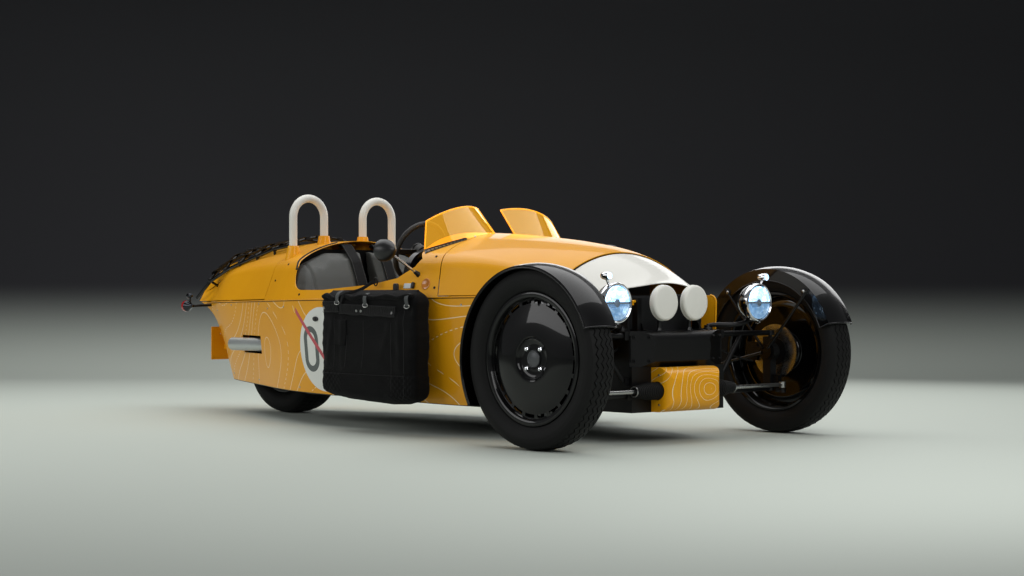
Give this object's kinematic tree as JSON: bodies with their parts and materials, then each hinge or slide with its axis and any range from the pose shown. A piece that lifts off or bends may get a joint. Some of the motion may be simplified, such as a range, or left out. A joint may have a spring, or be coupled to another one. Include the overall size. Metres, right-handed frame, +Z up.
{
  "type": "three wheeled open car",
  "caption": "Open two-seat roadster on a pair of exposed steered wheels in front and a single wheel in the tail, with twin hoops, small wind screens and side bags.",
  "frame": {"origin": "centre of the bounding box on the ground", "axes": "+X to the front of the car, +Y to its left, +Z up"},
  "size_m": [3.8539, 1.684, 1.141],
  "materials": {
    "amber_paint": "gloss",
    "white_paint": "gloss",
    "black_paint": "gloss",
    "dark_casting": "satin",
    "black_steel": "satin",
    "bright_steel": "satin",
    "tyre": "matte",
    "radiator": "matte",
    "engine": "matte",
    "leather": "satin",
    "bag_fabric": "matte",
    "amber_screen": "gloss",
    "lamp_chrome": "gloss",
    "lamp_cover": "satin",
    "lamp_red": "gloss",
    "black_plastic": "gloss"
  },
  "bodies": {
    "chassis": {"bonnet_brackets": "black_steel", "cockpit_surround": "amber_paint", "dashboard": "black_paint", "engine": "engine", "exhaust": "bright_steel", "firewall": "black_steel", "floor_pan": "amber_paint", "front_box": "black_steel", "front_casting": "dark_casting", "headlamp_left": "lamp_chrome", "headlamp_right": "lamp_chrome", "hoop_left": "white_paint", "hoop_right": "white_paint", "lid_hinge": "black_paint", "lower_nose": "amber_paint", "mirror_left": "black_plastic", "mirror_right": "black_plastic", "nose_cowl": "white_paint", "pannier_left": "bag_fabric", "pannier_right": "bag_fabric", "plate_panel": "amber_paint", "rack_housing": "black_steel", "radiator": "radiator", "rally_lamps": "lamp_cover", "rear_bulkhead": "black_steel", "screen_left": "amber_screen", "screen_right": "amber_screen", "seat_back_left": "leather", "seat_back_right": "leather", "seat_cushion_left": "leather", "seat_cushion_right": "leather", "side_panel_left": "amber_paint", "side_panel_right": "amber_paint", "steering_column": "black_steel", "suspension_left": "black_steel", "suspension_right": "black_steel", "swing_arm": "black_steel", "tail_lamp_left": "lamp_red", "tail_lamp_right": "lamp_red"},
    "bonnet": {"bonnet": "amber_paint"},
    "tail_lid": {"tail_lid": "amber_paint", "luggage_rack": "black_paint"},
    "front_left_upright": {"knuckle_left": "black_steel", "front_guard_left": "black_paint"},
    "front_right_upright": {"knuckle_right": "black_steel", "front_guard_right": "black_paint"},
    "front_left_wheel": {"front_wheel_left": "black_paint", "front_tyre_left": "tyre"},
    "front_right_wheel": {"front_wheel_right": "black_paint", "front_tyre_right": "tyre"},
    "rear_wheel": {"rear_wheel": "black_paint", "rear_tyre": "tyre"},
    "steering_wheel": {"steering_wheel": "leather"},
    "steering_rack": {"rack_bar": "bright_steel"}
  },
  "joints": [
    {"name": "front_left_steer", "type": "hinge", "parent": "chassis", "child": "front_left_upright", "pos_m": [1.557, 0.69, 0.37], "axis": [0, 0, 1], "range_deg": [-30, 30]},
    {"name": "front_right_steer", "type": "hinge", "parent": "chassis", "child": "front_right_upright", "pos_m": [1.557, -0.69, 0.37], "axis": [0, 0, 1], "range_deg": [-30, 30]},
    {"name": "rack_slide", "type": "slide", "parent": "chassis", "child": "steering_rack", "axis": [0, 1, 0], "range_m": [-0.052, 0.052]},
    {"name": "steering_wheel_turn", "type": "hinge", "parent": "chassis", "child": "steering_wheel", "pos_m": [0.232, -0.28, 0.832], "axis": [0.9272, 0, -0.3746], "range_deg": [-360, 360]},
    {"name": "front_left_spin", "type": "hinge", "parent": "front_left_upright", "child": "front_left_wheel", "pos_m": [1.557, 0.757, 0.37], "axis": [0, 1, 0], "continuous": true},
    {"name": "front_right_spin", "type": "hinge", "parent": "front_right_upright", "child": "front_right_wheel", "pos_m": [1.557, -0.757, 0.37], "axis": [0, 1, 0], "continuous": true},
    {"name": "rear_spin", "type": "hinge", "parent": "chassis", "child": "rear_wheel", "pos_m": [-1.148, 0, 0.32], "axis": [0, 1, 0], "continuous": true},
    {"name": "bonnet_hinge", "type": "hinge", "parent": "chassis", "child": "bonnet", "pos_m": [1.557, 0, 0.6], "axis": [0, 1, 0], "range_deg": [0, 40]},
    {"name": "tail_lid_hinge", "type": "hinge", "parent": "chassis", "child": "tail_lid", "pos_m": [-1.917, 0, 0.6], "axis": [0, -1, 0], "range_deg": [0, 55]}
  ],
  "couplings": [
    {"joint": "front_right_steer", "follows": "front_left_steer", "ratio": 1},
    {"joint": "rack_slide", "follows": "front_left_steer", "m_per_rad": 0.0955},
    {"joint": "steering_wheel_turn", "follows": "front_left_steer", "ratio": -12}
  ]
}
